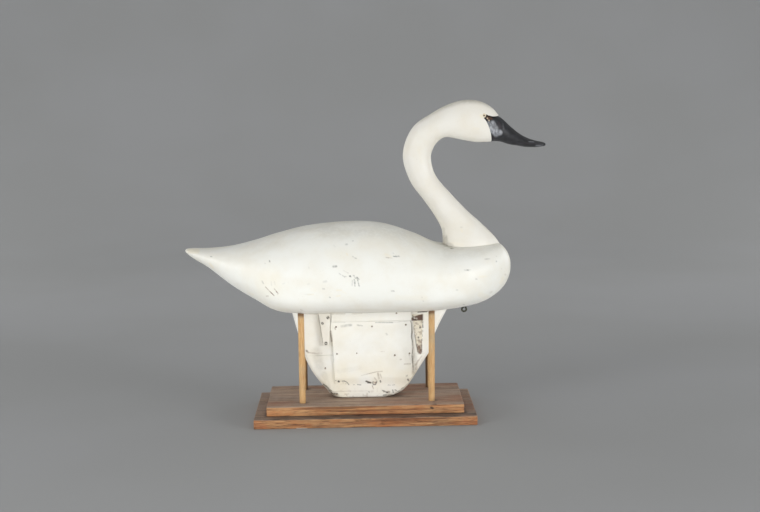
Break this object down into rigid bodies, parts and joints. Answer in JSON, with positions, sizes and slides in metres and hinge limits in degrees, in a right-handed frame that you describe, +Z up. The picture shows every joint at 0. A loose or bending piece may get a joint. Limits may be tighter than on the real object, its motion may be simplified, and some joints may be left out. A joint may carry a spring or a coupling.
{
  "type": "swan decoy",
  "caption": "Carved and painted wooden swan decoy with a curved neck and a deep keel, held up on dowels by a stepped board base.",
  "frame": {"origin": "middle of the underside of the lower base board", "axes": "+X from the tail to the bill, +Y from the side in view to the far side, +Z up"},
  "size_m": [0.7441, 0.2512, 0.6481],
  "materials": {
    "swan_paint": "off-white oil paint over smooth carved wood, satin, with small chips and grey smudges; bill painted black",
    "keel_paint": "thick white oil paint over boards, with flaking at the lower edge and rust spots at the nails",
    "stand_wood": "brown-stained board, thin satin varnish, dusty top",
    "dowel_wood": "plain pale dowel rod, unpainted, slightly yellowed",
    "eye_glass": "opaque glass, a dark pupil in a cream ring, glossy",
    "screw_eye_iron": "dull grey weathered iron wire"
  },
  "bodies": {
    "root": {"body": "swan_paint", "head_and_neck": "swan_paint", "eye_near": "eye_glass", "eye_far": "eye_glass", "screw_eye": "screw_eye_iron", "keel_upper_board": "keel_paint", "keel_lower_board": "keel_paint", "panel_near": "keel_paint", "panel_far": "keel_paint", "rail_near": "keel_paint", "rail_far": "keel_paint", "strap_near_tail": "keel_paint", "strap_far_tail": "keel_paint", "strap_far_breast": "keel_paint", "dowel_near_tail": "dowel_wood", "dowel_near_breast": "dowel_wood", "dowel_far_tail": "dowel_wood", "dowel_far_breast": "dowel_wood", "stand_upper_board": "stand_wood", "stand_lower_board": "stand_wood"}
  },
  "joints": []
}
